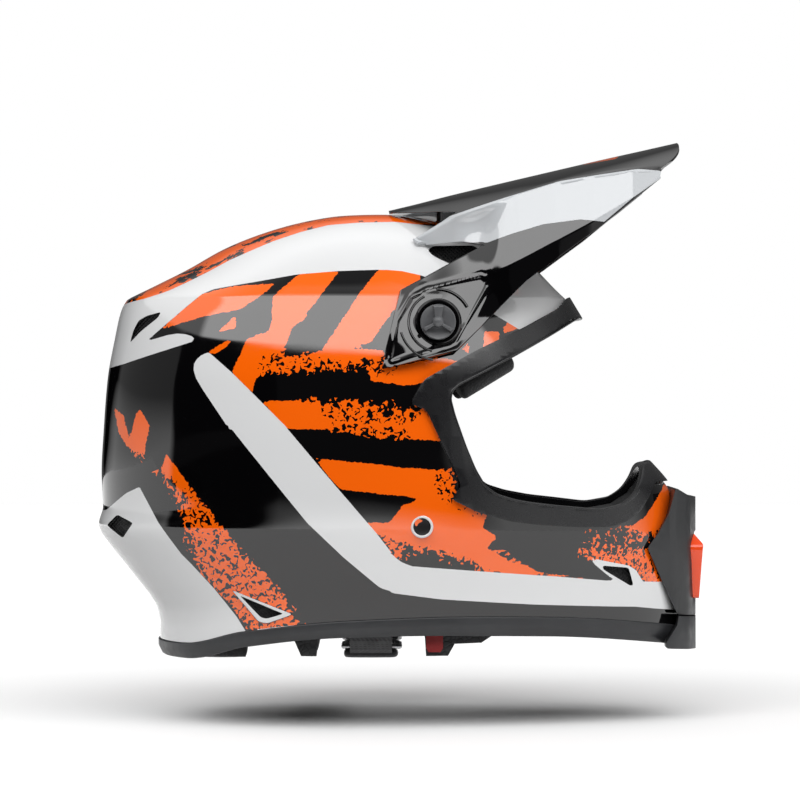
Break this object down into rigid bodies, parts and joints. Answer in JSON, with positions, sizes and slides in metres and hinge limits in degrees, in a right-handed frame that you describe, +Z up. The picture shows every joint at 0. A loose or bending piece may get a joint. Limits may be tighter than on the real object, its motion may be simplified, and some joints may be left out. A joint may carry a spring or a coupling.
{
  "type": "motocross helmet",
  "caption": "Full-face off-road helmet with a long chin bar, an open eyeport, an adjustable peak, vents with black mesh, foam liner, pads and a double-ring chin strap.",
  "frame": {"origin": "under the middle of the helmet, on the surface that it stands on", "axes": "+X the way the wearer looks, +Y the wearer's left, +Z up"},
  "size_m": [0.3718, 0.2474, 0.3149],
  "materials": {
    "paint": "gloss orange lacquer over a laminate shell, with black, white and grey graphics",
    "black_plastic": "gloss black plastic",
    "white_plastic": "gloss white plastic",
    "grey_plastic": "matte dark grey plastic",
    "beak": "satin red orange plastic",
    "rubber": "matte dark rubber",
    "mesh": "black woven mesh",
    "foam": "fine-grained moulded bead foam",
    "fabric": "black padded fabric",
    "red_webbing": "red woven tape",
    "webbing": "black woven webbing",
    "steel": "bright zinc plate"
  },
  "bodies": {
    "helmet": {"outer_shell": "paint", "eps_crown_liner": "foam", "eps_chin_bar": "foam", "eyeport_trim": "rubber", "base_trim_rear": "rubber", "base_trim_front": "rubber", "chin_vent_surround": "grey_plastic", "mouthpiece": "beak", "mouth_vent_mesh": "mesh", "screw_insert_left": "steel", "screw_insert_right": "steel", "screw_insert_top": "steel", "strap_rivet_left": "black_plastic", "strap_rivet_right": "black_plastic", "strap_anchor_left": "steel", "strap_anchor_right": "steel", "crown_pad": "fabric", "neck_roll": "fabric", "cheek_base_left": "foam", "cheek_base_right": "foam", "cheek_cushion_left": "fabric", "cheek_cushion_right": "fabric", "release_tab_left": "red_webbing", "release_tab_right": "red_webbing", "brow_vent_mesh_left": "mesh", "brow_vent_mesh_right": "mesh", "rear_top_vent_mesh_left": "mesh", "rear_top_vent_mesh_right": "mesh", "rear_side_vent_mesh_left": "mesh", "rear_side_vent_mesh_right": "mesh", "chin_side_vent_mesh_left": "mesh", "chin_side_vent_mesh_right": "mesh", "exhaust_vent_mesh_left": "mesh", "exhaust_vent_mesh_right": "mesh", "rear_side_vent_rim_left": "white_plastic", "rear_side_vent_rim_right": "white_plastic"},
    "peak": {"peak": "black_plastic"},
    "screw_left": {"peak_side_screw_left": "grey_plastic"},
    "screw_right": {"peak_side_screw_right": "grey_plastic"},
    "screw_top": {"peak_top_screw": "black_plastic"},
    "strap": {"chin_strap_left": "webbing", "chin_strap_right": "webbing", "strap_sleeve_left": "fabric", "strap_sleeve_right": "fabric", "d_ring_lower": "steel", "d_ring_upper": "steel", "strap_snap": "steel"}
  },
  "joints": [
    {"name": "peak_tilt", "type": "hinge", "parent": "helmet", "child": "peak", "pos_m": [0.0223, 0, 0.2013], "axis": [0, 1, 0], "range_deg": [0, 8]},
    {"name": "screw_left_turn", "type": "hinge", "parent": "helmet", "child": "screw_left", "pos_m": [0.0223, 0.11, 0.2013], "axis": [0, 1, 0], "continuous": true},
    {"name": "screw_right_turn", "type": "hinge", "parent": "helmet", "child": "screw_right", "pos_m": [0.0223, -0.11, 0.2013], "axis": [0, -1, 0], "continuous": true},
    {"name": "screw_top_turn", "type": "hinge", "parent": "helmet", "child": "screw_top", "pos_m": [0.0245, 0, 0.27], "axis": [0, 0, 1], "continuous": true},
    {"name": "strap_swing", "type": "hinge", "parent": "helmet", "child": "strap", "pos_m": [0.0129, 0, 0.0816], "axis": [0, 1, 0], "range_deg": [-8, 8]}
  ]
}
